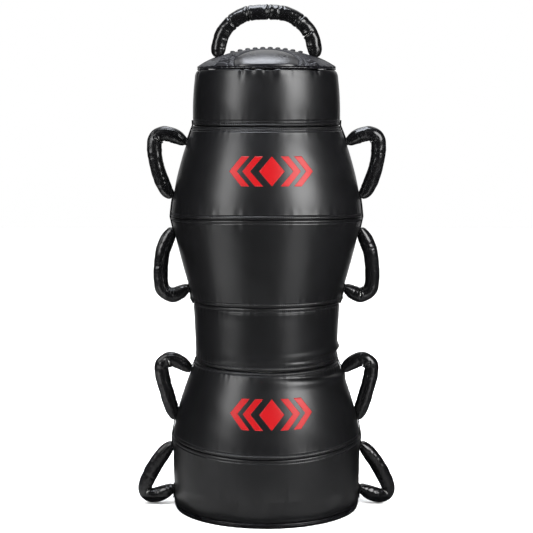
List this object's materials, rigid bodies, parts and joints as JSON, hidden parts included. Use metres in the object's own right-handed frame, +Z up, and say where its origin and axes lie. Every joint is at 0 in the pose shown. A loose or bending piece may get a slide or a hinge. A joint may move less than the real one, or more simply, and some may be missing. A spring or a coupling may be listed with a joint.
{
  "type": "training sandbag",
  "caption": "Free-standing filled training bag, waisted like a double gourd, with four padded grab handles down each flank, a carry handle and a laced crown.",
  "frame": {"origin": "centre of the base where it stands on the floor", "axes": "+Z up along the bag's axis, -Y towards the printed front, +X towards the right-hand row of handles as seen from the front"},
  "size_m": [0.6178, 0.453, 1.1995],
  "materials": {
    "coated_cloth": "satin black coated cloth with a fine grain",
    "grip_cloth": "glossy black coated cloth, wrinkled over foam",
    "webbing": "woven black polyester webbing",
    "foam": "open-cell foam",
    "rags": "packed shredded textile",
    "sand": "sand in a sewn cotton tube",
    "lace": "braided black cord"
  },
  "bodies": {
    "root": {"base_panel": "coated_cloth", "base_piping": "coated_cloth", "crown_piping": "coated_cloth", "drum_panel": "coated_cloth", "cone_panel": "coated_cloth", "waist_panel": "coated_cloth", "belly_panel": "coated_cloth", "shoulder_panel": "coated_cloth", "head_panel": "coated_cloth", "crown_front_panel": "coated_cloth", "crown_rear_panel": "coated_cloth", "front_placket": "coated_cloth", "rear_placket": "coated_cloth", "left_neck_strap": "webbing", "left_belly_strap": "webbing", "left_waist_top_strap": "webbing", "left_waist_low_strap": "webbing", "left_drum_strap": "webbing", "left_foot_strap": "webbing", "left_crown_strap": "webbing", "right_neck_strap": "webbing", "right_belly_strap": "webbing", "right_waist_top_strap": "webbing", "right_waist_low_strap": "webbing", "right_drum_strap": "webbing", "right_foot_strap": "webbing", "right_crown_strap": "webbing", "foam_lining": "foam", "crown_pad": "foam", "rag_fill": "rags", "sand_tube": "sand", "lace_tongue": "coated_cloth", "lace": "lace"},
    "left_shoulder_handle": {"left_shoulder_handle_cover": "grip_cloth", "left_shoulder_handle_foam": "foam", "left_shoulder_handle_webbing": "webbing"},
    "left_belly_handle": {"left_belly_handle_cover": "grip_cloth", "left_belly_handle_foam": "foam", "left_belly_handle_webbing": "webbing"},
    "left_cone_handle": {"left_cone_handle_cover": "grip_cloth", "left_cone_handle_foam": "foam", "left_cone_handle_webbing": "webbing"},
    "left_drum_handle": {"left_drum_handle_cover": "grip_cloth", "left_drum_handle_foam": "foam", "left_drum_handle_webbing": "webbing"},
    "right_shoulder_handle": {"right_shoulder_handle_cover": "grip_cloth", "right_shoulder_handle_foam": "foam", "right_shoulder_handle_webbing": "webbing"},
    "right_belly_handle": {"right_belly_handle_cover": "grip_cloth", "right_belly_handle_foam": "foam", "right_belly_handle_webbing": "webbing"},
    "right_cone_handle": {"right_cone_handle_cover": "grip_cloth", "right_cone_handle_foam": "foam", "right_cone_handle_webbing": "webbing"},
    "right_drum_handle": {"right_drum_handle_cover": "grip_cloth", "right_drum_handle_foam": "foam", "right_drum_handle_webbing": "webbing"},
    "crown_handle": {"crown_handle_cover": "grip_cloth", "crown_handle_foam": "foam", "crown_handle_webbing": "webbing"}
  },
  "joints": [
    {"name": "left_shoulder_swing", "type": "hinge", "parent": "root", "child": "left_shoulder_handle", "pos_m": [-0.20808, 0, 0.81406], "axis": [0.2454, 0, 0.9694], "range_deg": [-45, 45], "stiffness_Nm_per_rad": 0.25},
    {"name": "left_belly_swing", "type": "hinge", "parent": "root", "child": "left_belly_handle", "pos_m": [-0.20559, 0, 0.6015], "axis": [-0.2499, 0, 0.9683], "range_deg": [-45, 45], "stiffness_Nm_per_rad": 0.25},
    {"name": "left_cone_swing", "type": "hinge", "parent": "root", "child": "left_cone_handle", "pos_m": [-0.20186, 0, 0.27215], "axis": [0.2971, 0, 0.9548], "range_deg": [-45, 45], "stiffness_Nm_per_rad": 0.25},
    {"name": "left_drum_swing", "type": "hinge", "parent": "root", "child": "left_drum_handle", "pos_m": [-0.22709, 0, 0.09438], "axis": [-0.0297, 0, 0.9996], "range_deg": [-45, 45], "stiffness_Nm_per_rad": 0.25},
    {"name": "right_shoulder_swing", "type": "hinge", "parent": "root", "child": "right_shoulder_handle", "pos_m": [0.20808, 0, 0.81406], "axis": [-0.2454, 0, 0.9694], "range_deg": [-45, 45], "stiffness_Nm_per_rad": 0.25},
    {"name": "right_belly_swing", "type": "hinge", "parent": "root", "child": "right_belly_handle", "pos_m": [0.20559, 0, 0.6015], "axis": [0.2499, 0, 0.9683], "range_deg": [-45, 45], "stiffness_Nm_per_rad": 0.25},
    {"name": "right_cone_swing", "type": "hinge", "parent": "root", "child": "right_cone_handle", "pos_m": [0.20186, 0, 0.27215], "axis": [-0.2971, 0, 0.9548], "range_deg": [-45, 45], "stiffness_Nm_per_rad": 0.25},
    {"name": "right_drum_swing", "type": "hinge", "parent": "root", "child": "right_drum_handle", "pos_m": [0.22709, 0, 0.09438], "axis": [0.0297, 0, 0.9996], "range_deg": [-45, 45], "stiffness_Nm_per_rad": 0.25},
    {"name": "crown_swing", "type": "hinge", "parent": "root", "child": "crown_handle", "pos_m": [0, 0, 1.08594], "axis": [1, 0, 0], "range_deg": [-60, 60], "stiffness_Nm_per_rad": 0.6}
  ]
}
